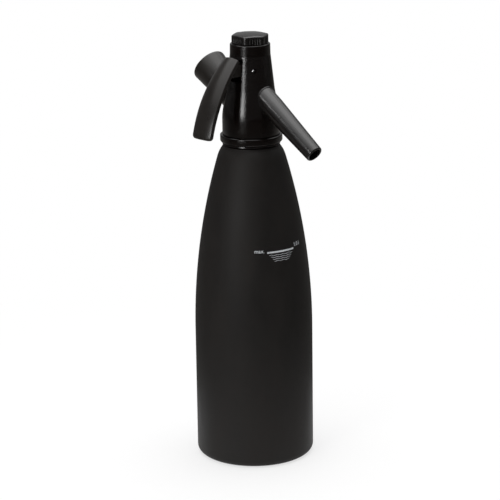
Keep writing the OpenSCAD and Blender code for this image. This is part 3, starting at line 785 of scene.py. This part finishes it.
@dataclass
class DispensingHead:
    """The gloss head with its slot and inlet boss, its pivot pin, the spout and its trim. Sizes in mm."""

    foot: float = 253.2
    top: float = 322.2
    skirt: float = 21.8
    skirt_top: float = 265.0
    flank: Point = (18.0, 289.0)
    crease: Point = (15.35, 313.4)
    top_radius: float = 15.15
    top_round: float = 0.85
    cavity_floor: float = 295.0
    slot_half: float = 6.2
    slot_top: float = 311.8
    spout_seat: float = 9.1
    spout_radius: float = 8.5
    spout_bore: float = 4.9
    spout_end: float = 80.8
    boss: float = 11.5
    boss_end: float = 30.3
    pin_half: float = 13.2
    pin_hole: float = 1.56

    def flank_radius(self, t: float) -> float:
        """Radius on the curved flank.

        Args:
            t: Place on it, from 0 at the skirt to 1 at the cone.

        Returns:
            The radius in mm.
        """
        slope = (self.crease[0] - self.flank[0]) / (self.crease[1] - self.flank[1])
        rise = self.flank[1] - self.skirt_top
        return ((2 * t ** 3 - 3 * t ** 2 + 1) * self.skirt + (3 * t ** 2 - 2 * t ** 3) * self.flank[0]
                + (t ** 3 - t ** 2) * slope * rise)

    def outside(self, depth: float) -> list[Point]:
        """Outer outline from the foot to the top.

        Args:
            depth: How far the outline lies below the surface in mm.

        Returns:
            Points as (radius, height).
        """
        rise = self.flank[1] - self.skirt_top
        x, z = self.crease
        points = arc((self.skirt - 0.5, self.foot + 0.5), 0.5, -90, 0, 4)
        points += [(self.skirt, height) for height in (258.0, 262.0)]
        points += [(self.flank_radius(i / 24), self.skirt_top + rise * i / 24) for i in range(25)]
        points += [(x + 1.3, z - 12.0), (x + 0.06, z - 0.6), (x + 0.02, z - 0.15), (x - 0.04, z + 0.15),
                   (x - 0.06, z + 0.6), (self.top_radius, self.top - 1.6)]
        points += arc((self.top_radius - self.top_round, self.top - self.top_round), self.top_round, 0, 90, 6)
        return [(r - depth, height) for r, height in points]

    def core(self, depth: float) -> Object:
        """A solid of the head's outline, sunk by a depth in mm, that cuts what seats on the head."""
        return turn_on_lathe("HeadCore", [(0.0, self.foot)] + self.outside(depth) + [(0.0, self.top)])

    def rod(self, radius: float, start: float, end: float) -> Object:
        """A round cutting tool along the spout's axis, from a start to an end in mm from the bottle's axis."""
        return turn_on_lathe("Tool", rod_outline(radius, start, end), 96, axis=SPOUT)

    def shell(self) -> Object:
        """Model the head: turned, with the boss joined on and its openings cut.

        Returns:
            The head.
        """
        low, floor, half = self.foot - 5, self.cavity_floor, self.slot_half
        # From the top down: the seal's seat, cap's thread, lever's chamber, barrel's bore, flange's seat, neck's bore
        inside = [(11.85, self.top), (11.85, 320.8), (11.2, 320.8), (11.2, 314.0), (9.3, 314.0), (9.3, floor),
                  (8.55, floor), (8.55, 272.2), (14.05, 272.2), (14.05, 269.7), (18.95, 269.7), (18.95, self.foot)]
        head = turn_on_lathe("HeadShell", self.outside(0.0) + inside, 160, closed=True)
        boss = turn_on_lathe("Boss", rod_outline(self.boss, 12.0, self.boss_end, (0.0, 0.4)), 96, axis=INLET)
        # A little roomier than the head inside, so that no two walls coincide
        combine(boss, turn_on_lathe("Bore", [(0.0, low), (19.1, low), (19.1, 269.85), (14.2, 269.85), (14.2, 272.35),
                                             (8.7, 272.35), (8.7, 285.0), (0.0, 285.0)], 160))
        combine(head, boss, operation="UNION")
        seat = self.rod(self.spout_seat, 10.0, 40.0)
        combine(seat, self.core(1.65))
        inlet = [(0.0, 14.55), (4.4, 14.55), (4.4, 18.2), (5.05, 18.2), (5.05, 22.0), (7.55, 22.0), (7.55, 28.3),
                 (9.05, 28.3), (9.05, 40.0), (0.0, 40.0)]
        combine(head, seat, self.rod(6.25, 15.35, 30.0), self.rod(3.05, 5.0, 25.0),
                turn_on_lathe("InletBore", inlet, 96, axis=INLET),
                block("Slot", (-half, -ACROSS, floor), (half, 0.0, self.slot_top), 0.6),
                turn_on_lathe("PinHole", rod_outline(self.pin_hole, -ACROSS, ACROSS), 48, axis=PIVOT))
        # The slot's lower lip is rounded more than its sides and top
        for start, end, width, segments in ((floor - 1.0, floor + 1.5, 0.9, 5),
                                            (floor + 5.0, self.slot_top + 0.7, 0.3, 3)):
            round_edges(head, width, segments, 40, lambda middle: self.on_rim(middle) and start < middle.z < end)
        return head

    def on_rim(self, middle: Vector) -> bool:
        """Whether an edge with this middle may belong to the slot's outer rim, which the mould rounds a little."""
        return math.hypot(middle.x, middle.y) > 13.5 and middle.y < -11.0 and abs(middle.x) < self.slot_half + 0.4

    def pivot_pin(self) -> Object:
        """Model the steel pin with chamfered ends.

        Returns:
            The pin.
        """
        half = self.pin_half
        outline = filleted([(0.0, -half, 0.0), (1.0, -half, 0.15), (1.5, -half + 1.0, 0.2), (1.5, half - 1.0, 0.2),
                            (1.0, half, 0.15), (0.0, half, 0.0)], 3)
        return turn_on_lathe("PivotPin", outline, 48, axis=PIVOT)

    def spout(self) -> Object:
        """Model the spout: straight root, long taper and a rounded lip.

        Returns:
            The spout.
        """
        wide, bore, end = self.spout_radius, self.spout_bore, self.spout_end
        outline = [(4.0, 16.0), (wide, 16.0), (wide, 29.0)] + arc((wide - 40.0, 28.4), 40.0, 0.5, 2.4, 5)
        outline += filleted([outline[-1] + (0.0,), (6.5, end, 1.05), (bore, end, 0.5), (bore, 29.0, 0.0),
                             (4.0, 29.0, 0.0)], 6)[1:]
        pipe = turn_on_lathe("Spout", outline, 128, closed=True, axis=SPOUT)
        combine(pipe, self.core(0.5))

        def on_root(middle: Vector) -> bool:
            """Whether an edge with this middle lies on the rim where the spout meets the head."""
            spoke = middle - Vector((0.0, *SPOUT[1:]))
            return spoke.dot(SPOUT_WAY) < 26 and spoke.cross(SPOUT_WAY).length > self.spout_radius - 0.2

        round_edges(pipe, 1.3, 5, 30, on_root)
        return pipe

    def trim_ring(self) -> Object:
        """Model the fine bead around the spout's root, which follows the head's curved side.

        Returns:
            The ring.
        """
        outer = self.spout_seat - 0.05
        inner = outer - 0.45
        section = [(inner, 12.0), (outer, 12.0), (outer, 36.0), (inner, 36.0)]
        ring = turn_on_lathe("TrimRing", section, 96, closed=True, axis=SPOUT)
        combine(ring, self.core(-0.38), operation="INTERSECT")
        combine(ring, self.core(1.58))
        round_edges(
            ring, 0.2, 3, 40, lambda middle: math.hypot(middle.x, middle.y) > 16.5 and middle.dot(SPOUT_WAY) < 30)
        return ring

    def build(self) -> None:
        """Build and dress the head, its pin, the spout and its trim."""
        dress(self.shell(), "gloss_black", Body.HEAD, Slot.GLOSS, "head_body")
        dress(self.pivot_pin(), "pin", Body.HEAD, Slot.STEEL, "lever_pin")
        dress(self.spout(), "satin_black", Body.HEAD, Slot.SATIN, "spout")
        dress(self.trim_ring(), "satin_black", Body.HEAD, Slot.GLOSS, "spout_ring")


@dataclass
class SqueezeLever:
    """The bowed lever with its arm and fork. Sizes in mm, side view as (y, z)."""

    centre: Point = (50.48, 234.81)
    bow: float = 105.2
    top: Point = (-19.9, 313.0)
    end: Point = (-52.38, 256.9)
    half: float = 9.7
    top_half: float = 7.4
    waist: float = 40.0
    thick: float = 3.8
    crown: float = 1.7
    fall: float = 0.5
    corner: float = 3.2
    end_round: float = 1.7
    arm_half: float = 5.8
    fork_half: float = 5.5
    pin_bore: float = 1.55

    def angle_of(self, point: Point) -> float:
        """Angle of a point above level, seen from the bow's centre, in degrees."""
        return math.degrees(math.atan2(point[1] - self.centre[1], self.centre[0] - point[0]))

    def half_width(self, height: float) -> float:
        """Half of the blade's width.

        Args:
            height: Height in mm.

        Returns:
            The half width there in mm, narrower at the waist and at the rounded corners.
        """
        inset = self.half - self.top_half
        radius = (self.waist ** 2 + inset ** 2) / (2 * inset)
        over = max(0.0, height - (self.top[1] - self.waist))
        wide = self.half - radius + math.sqrt(radius ** 2 - over ** 2)
        under = max(0.0, self.end[1] + self.corner - height)
        return wide - self.corner + math.sqrt(max(0.0, self.corner ** 2 - under ** 2))

    def section(self) -> list[Point]:
        """Closed section of the blade.

        Returns:
            Points as (across, distance from the bow's centre).
        """
        half, rise, edge, back = self.half, self.crown + self.fall, self.bow - self.fall, self.bow - self.thick
        crown_radius = (half * half + rise * rise) / (2 * rise)
        lean = math.degrees(math.asin(half / crown_radius))
        front = arc((0.0, edge + rise - crown_radius), crown_radius, 90 - lean + 3.0, 90 + lean - 3.0, 16)
        left = filleted([front[-1] + (0.0,), (-half, edge, 0.7), (-half + 0.1, back, 0.8), (0.0, back, 0.0)], 4)[1:]
        return front + left + [(-x, r) for x, r in reversed(left[:-1])]

    def blade(self) -> Object:
        """Model the blade: its section spun along the bow, each ring drawn in to its width.

        Returns:
            The blade.
        """
        low, high = self.angle_of(self.end), self.angle_of(self.top)
        lean = math.radians(low)
        out = Vector((0.0, -math.cos(lean), math.sin(lean)))
        centre = Vector((0.0, *self.centre))
        blade = start_outline("LeverBlade", [centre + out * r + Vector((x, 0.0, 0.0)) for x, r in self.section()], True)
        for steps, angle in ((12, 1.6), (52, high - low - 2.1), (3, 0.5)):
            bpy.ops.mesh.spin(steps=steps, angle=math.radians(angle), center=centre * MM, axis=(1, 0, 0))
        bpy.ops.mesh.select_all(action="SELECT")
        bpy.ops.mesh.fill_holes(sides=0)

        def drawn(place: Vector) -> Vector:
            """Draw a point in to the blade's width there and thin the blade towards its lower end.

            Args:
                place: The point in mm.

            Returns:
                Its new place in mm.
            """
            seen = self.angle_of((place.y, place.z))
            across = place.x * self.half_width(self.centre[1] + self.bow * math.sin(math.radians(seen))) / self.half
            left = max(0.0, 1.0 - math.radians(seen - low) * self.bow / self.end_round)
            share = 0.6 * (1.0 - math.sqrt(max(0.0, 1.0 - left * left)))
            spoke = Vector((0.0, place.y - centre.y, place.z - centre.z))
            inwards = (self.bow - self.thick * 0.4 - spoke.length) * share
            return Vector((across, place.y, place.z)) + spoke.normalized() * inwards

        reshape(blade, drawn)
        round_edges(blade, 0.5, sharper=60)
        return blade

    def arm(self) -> Object:
        """Model the arm from the blade to the pin, with its round boss and the fork's nose.

        Returns:
            The arm.
        """
        (lean, y, z), half, fork_half = PIVOT, self.arm_half, self.fork_half
        arm = block("ArmBar", (-half, -23.0, z - 4.3), (half, y, z + 4.3), 0.6)
        boss = turn_on_lathe("ArmBoss", rod_outline(4.5, -half, half, (0.6, 0.6), 4), 64, axis=PIVOT)
        fork = block("Fork", (-fork_half, y, z - 1.5), (fork_half, 0.6, z + 1.5), 0.4)
        nose = turn_on_lathe("Nose", rod_outline(2.0, -fork_half, fork_half, (0.3, 0.3)), 48, axis=(lean, 0.0, z))
        combine(fork, nose, operation="UNION")
        combine(arm, boss, fork, operation="UNION")
        return arm

    def build(self) -> None:
        """Build and dress the lever."""
        lever = self.blade()
        combine(lever, self.arm(), operation="UNION")
        combine(lever, turn_on_lathe("PinBore", rod_outline(self.pin_bore, -ACROSS, ACROSS), 48, axis=PIVOT),
                block("ForkGap", (-2.5, -3.0, PIVOT[2] - 20), (2.5, 10.0, PIVOT[2] + 20), 0.3))
        lever.name = lever.data.name = "SqueezeLever"
        close_up(lever)
        dress(lever, "matte_black", Body.LEVER, Slot.MATTE, "lever")


@dataclass
class ScrewCaps:
    """The ribbed hexagonal cap on the head and the cap on the charger inlet. Sizes in mm."""

    flats: float = 25.4
    corner: float = 14.15
    foot: float = 322.5
    side: float = 6.0
    dome: float = 1.39
    spigot: float = 315.5
    shoulder: float = 1.0
    grooves: int = 5
    pitch: float = 2.0
    groove: float = 1.0
    round_within: float = 10.95
    inlet_start: float = 30.6
    inlet_end: float = 57.0
    inlet_open: float = 11.6
    inlet_closed: float = 13.9
    inlet_round: float = 2.0

    def drawn_in(self, angle: float, ribbed: float) -> float:
        """How far the cap's side is drawn in from its corners at an angle.

        Args:
            angle: Direction in degrees from +X, where a corner lies.
            ribbed: Share of the ribs' depth, 0 for a smooth side.

        Returns:
            The radius there as a share of the radius at the corners.
        """
        half, half_side = self.flats / 2, math.radians(30)
        turn = math.radians((angle + 360) % 60 - 30)
        corner_round = (half - self.corner * math.cos(half_side)) / (1 - math.cos(half_side))
        centre = (half - corner_round) / math.cos(half_side)
        across = half * math.tan(turn)
        if abs(across) > (half - corner_round) * math.tan(half_side):
            off = half_side - abs(turn)
            radius = centre * math.cos(off) + math.sqrt(corner_round ** 2 - (centre * math.sin(off)) ** 2)
        else:
            radius = half / math.cos(turn)
        if abs(across) < self.pitch * self.grooves / 2:
            radius -= ribbed * self.groove * (1 - abs(math.sin(math.pi * across / self.pitch)))
        return radius / self.corner

    def top_cap(self) -> Object:
        """Model the top cap: turned with its threaded spigot, then drawn in to a ribbed hexagon.

        Returns:
            The cap.
        """
        top, rim, low = self.foot + self.side + self.dome, self.corner, self.spigot
        sphere = (rim ** 2 + self.dome ** 2) / (2 * self.dome)
        dome = arc((0.0, top - sphere), sphere, 90, 90 - math.degrees(math.asin(rim / sphere)), 10)
        shoulder = filleted([dome[-2] + (0.0,), (rim, self.foot + self.side, self.shoulder),
                             (rim, self.foot + 3, 0.0)], 7)
        outline = [(0.0, top)] + dome[1:-2] + shoulder[1:-1]
        outline += [(rim, self.foot + z) for z in (3.9, 3.4, 2.9, 2.0, 1.0, 0.3)]
        outline += [(rim - 0.3, self.foot), (10.0, self.foot)]
        # Two turns of thread, then from below the spring's seat and the stem's room
        for base in (low + 2.3, low + 0.3):
            outline += [(10.0, base + 1.8), (10.9, base + 1.2), (10.9, base + 0.7), (10.0, base + 0.2)]
        outline += [(10.0, low), (5.8, low), (5.8, low + 3.0), (3.0, low + 3.0), (3.0, low + 5.0), (0.0, low + 5.0)]
        cap = turn_on_lathe("TopCap", outline, 480)

        def hexagonal(place: Vector) -> Vector:
            """Draw a point of the cap's head in to the ribbed hexagon.

            Args:
                place: The point in mm.

            Returns:
                Its new place in mm.
            """
            share = (math.hypot(place.x, place.y) - self.round_within) / (rim - self.round_within)
            if place.z <= self.foot - 0.1 or share <= 0:
                return place
            ribbed = min(1.0, max(0.0, (self.foot + self.side - self.shoulder + 0.4 - place.z) / 0.6))
            drawn = 1 + (self.drawn_in(math.degrees(math.atan2(place.y, place.x)), ribbed) - 1) * share
            return Vector((place.x * drawn, place.y * drawn, place.z))

        reshape(cap, hexagonal, 40.0)
        return cap

    def inlet_cap(self) -> Object:
        """Model the inlet cap: a cone with rounded ends, hollow for the stud.

        Returns:
            The cap.
        """
        start, end, seal = self.inlet_start, self.inlet_end, self.inlet_start + 20.4
        outline = filleted([(7.8, start, 0.3), (9.5, start, 0.2), (9.5, seal, 0.3), (9.8, seal, 0.0), (9.8, start, 0.2),
                            (self.inlet_open, start, 0.55), (self.inlet_closed, end, self.inlet_round),
                            (3.0, end, 0.0), (0.0, end, 0.0)], 6)
        outline = outline[:-2] + [(0.0, end), (0.0, start + 21.5), (7.8, start + 21.5), (7.8, start)]
        return turn_on_lathe("InletCap", outline, axis=INLET)

    def build(self) -> None:
        """Build and dress both caps."""
        dress(self.top_cap(), "satin_black", Body.TOP_CAP, Slot.MATTE, "top_cap")
        dress(self.inlet_cap(), "matte_black", Body.INLET_CAP, Slot.MATTE, "inlet_cap")


@dataclass
class ValveSpring:
    """The coil spring over the valve's stem; it shortens as the lever lifts the valve. Sizes in mm."""

    radius: float = 4.0
    wire: float = 0.5
    low: float = 309.05
    high: float = 318.45
    turns: float = 4.5
    lift: float = 2.8

    def coil(self) -> Object:
        """Wind the wire's round section up around the axis and close its two ends.

        Returns:
            The spring.
        """
        ring = arc((self.radius, self.low + self.wire), self.wire, 0, 330, 11)
        spring = start_outline("ValveSpring", [Vector((r, 0.0, z)) for r, z in ring], True)
        take(spring)
        winding = spring.modifiers.new("winding", "SCREW")
        winding.angle = math.tau * self.turns
        winding.screw_offset = (self.high - self.low - 2 * self.wire) * MM
        winding.steps = winding.render_steps = round(36 * self.turns)
        bpy.ops.object.modifier_apply(modifier=winding.name)
        open_up(spring)
        bpy.ops.mesh.fill_holes(sides=0)
        close_up(spring, 40.0)
        return spring

    def build(self) -> None:
        """Build the spring and dress it on the valve's body, with a mesh of its own."""
        spring = self.coil()
        dress(spring, "steel", Body.VALVE, Slot.STEEL, "valve_spring")
        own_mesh(spring)


def dress_workings() -> None:
    """Give every solid that stays, the pieces inside, the finish of its record slot."""
    for part in frame["record"]["subparts"]:
        paint(frame["nodes"][part["node"]], part["material_slot"])
    log.info("workings: %d solids dressed", len(frame["nodes"]))


# ---- studio


@dataclass
class Studio:
    """A white table, soft light and the camera. Sizes in metres."""

    azimuth: float = 45.7
    elevation: float = 16.0
    roll: float = -0.8
    aim: float = 0.16116
    distance: float = 1.6874
    lens: float = 158.4
    shift: float = -0.00575

    def camera(self) -> None:
        """Place the camera at the photograph's viewing angle."""
        azimuth, elevation, roll = (math.radians(v) for v in (self.azimuth, self.elevation, self.roll))
        turn = (Matrix.Rotation(azimuth, 3, "Z") @ Matrix.Rotation(math.pi / 2 - elevation, 3, "X")
                @ Matrix.Rotation(roll, 3, "Z"))
        data = bpy.data.cameras.new("Camera")
        data.lens, data.sensor_width, data.shift_x = self.lens, 36.0, self.shift
        data.clip_start, data.clip_end = 0.05, 40.0
        camera = bpy.data.objects.new("Camera", data)
        bpy.context.collection.objects.link(camera)
        camera.location = Vector((0.0, 0.0, self.aim)) + turn.col[2] * self.distance
        camera.rotation_euler = turn.to_euler()
        bpy.context.scene.camera = camera

    def softbox(self, name: str, place: Vector, target: Vector, size: Point, radiance: float) -> Object:
        """Hang a rectangular softbox.

        Args:
            name: Name of the light.
            place: Its centre in metres.
            target: Point it faces.
            size: Width and height in metres.
            radiance: Brightness of its face, where 1 is white.

        Returns:
            The lamp.
        """
        data = bpy.data.lights.new(name, "AREA")
        data.shape, data.size, data.size_y = "RECTANGLE", size[0], size[1]
        data.energy = radiance * math.pi * size[0] * size[1]
        lamp = bpy.data.objects.new(name, data)
        bpy.context.collection.objects.link(lamp)
        lamp.location = place
        lamp.rotation_euler = (place - target).to_track_quat("Z", "Y").to_euler()
        lamp.visible_camera = False
        return lamp

    def table(self) -> None:
        """Lay the white table, which stays white for the camera and keeps the siphon's shadow."""
        clear_selection()
        bpy.ops.mesh.primitive_plane_add(size=16.0, location=(0, 0, -0.0002))
        floor = bpy.context.object
        floor.name = "Table"
        bpy.ops.object.transform_apply()
        material, tree, place = new_material("white_laminate")
        rays = add_node(tree, "ShaderNodeLightPath").outputs
        seen = rays["Is Camera Ray"]
        for other in ("Is Glossy Ray", "Is Transmission Ray"):
            seen = add_node(tree, "ShaderNodeMath", {"operation": "MAXIMUM"}, {0: seen, 1: rays[other]})
        away = add_node(tree, "ShaderNodeVectorMath", {"operation": "LENGTH"}, {0: place}).outputs["Value"]
        fade = add_node(
            tree, "ShaderNodeMapRange", {"interpolation_type": "SMOOTHSTEP", 1: 0.05, 2: 0.45, 3: 0.66, 4: 1.0},
            {0: away})
        share = add_node(tree, "ShaderNodeMath", {"operation": "MULTIPLY"}, {0: seen, 1: fade})
        matt = add_node(tree, "ShaderNodeBsdfDiffuse", {"Color": linear("#f8f8f8")})
        white = add_node(tree, "ShaderNodeEmission", {"Color": linear("#ffffff"), "Strength": 1.0})
        mix = add_node(tree, "ShaderNodeMixShader", links={0: share, 1: matt, 2: white})
        add_node(tree, "ShaderNodeOutputMaterial", links={"Surface": mix})
        floor.data.materials.append(material)

    def dark_room(self) -> None:
        """Lay a dim ring that only reflections see, where a real table ends: painted shade of the room for the gloss to
        mirror, made lighter behind the siphon by painted light.
        """
        room = turn_on_lathe("DarkRoom", [(165.0, -0.1), (8000.0, -0.1)], 96)
        material, tree, place = new_material("room_shade_for_reflections")
        turn = math.radians(self.azimuth)
        # Painted light: the ring's tone runs from dark in front of the siphon to lighter behind it
        behind = add_node(
            tree, "ShaderNodeVectorMath", {"operation": "DOT_PRODUCT", 1: (-math.sin(turn), math.cos(turn), 0.0)},
            {0: place}).outputs["Value"]
        light = add_node(
            tree, "ShaderNodeMapRange", {"interpolation_type": "SMOOTHSTEP", 1: -0.1, 2: 0.5, 3: 0.0, 4: 1.0},
            {0: behind})
        tone = add_node(
            tree, "ShaderNodeValToRGB", {"stops": [(0.0, linear("#5d5b58")), (1.0, linear("#8a8885"))]}, {"Fac": light})
        room_shade_bsdf = add_node(tree, "ShaderNodeBsdfDiffuse", links={"Color": tone})
        add_node(tree, "ShaderNodeOutputMaterial", links={"Surface": room_shade_bsdf})
        room.data.materials.append(material)
        room.visible_camera = room.visible_diffuse = room.visible_shadow = room.visible_transmission = False

    def world(self) -> None:
        """Fill the room with an even soft grey."""
        world = bpy.data.worlds.new("Room")
        world.use_nodes = True
        bpy.context.scene.world = world
        background = world.node_tree.nodes["Background"]
        background.inputs["Color"].default_value = linear("#ffffff")
        background.inputs["Strength"].default_value = 0.12

    def lights(self) -> None:
        """Hang the standing boxes that the head mirrors, the boxes overhead and three single ones."""
        side = math.radians(self.azimuth - 36.0)
        for name, low, high, width, radiance in (("StripBox", 0.31, 0.6, 0.31, 10.5),
                                                 ("SlimBox", 0.17, 0.31, 0.09, 8.5), ("LowBox", 0.1, 0.17, 0.6, 1.7)):
            place = Vector((math.sin(side) * 1.1, -math.cos(side) * 1.1, (low + high) / 2))
            self.softbox(name, place, Vector((0.0, 0.0, place.z)), (width, high - low), radiance)
        for name, near, far, radiance in (("TopBack", 0.6, 1.5, 1.4), ("TopBox", -0.3, 0.6, 2.5),
                                          ("TopEdge", -0.8, -0.3, 1.5), ("TopFront", -1.5, -0.8, 0.85)):
            place = Vector((-0.1, (near + far) / 2, 1.3))
            self.softbox(name, place, place - Vector((0.0, 0.0, 1.0)), (1.5, far - near), radiance)
        edge = self.softbox("EdgeBox", Vector((-0.25, -1.07, 0.88)), Vector((0.05, 0.0, 0.26)), (0.3, 0.07), 12.0)
        lit = bpy.data.collections.new("SpoutOnly")
        lit.objects.link(bpy.data.objects["Spout"])
        edge.light_linking.receiver_collection = lit
        self.softbox("BackBox", Vector((-1.15, 1.12, 0.85)), Vector((0.0, 0.0, 0.3)), (2.6, 1.3), 0.2)
        fill = self.softbox("FillBox", Vector((0.0, 0.0, 1.6)), Vector(), (2.2, 2.2), 0.5)
        fill.visible_glossy = False

    def build(self) -> None:
        """Build the camera, the table, the room and the lights."""
        self.camera()
        self.table()
        self.dark_room()
        self.world()
        self.lights()
        bpy.context.scene.view_settings.view_transform = "Standard"


def main() -> None:
    """Build the siphon's visible pieces, the studio and the camera."""
    logging.basicConfig(level=logging.INFO, format="%(name)s: %(message)s")
    dress_workings()
    for assembly in (CoatedBottle(), DispensingHead(), SqueezeLever(), ScrewCaps(), ValveSpring(), Studio()):
        assembly.build()


if __name__ == "__main__":
    main()
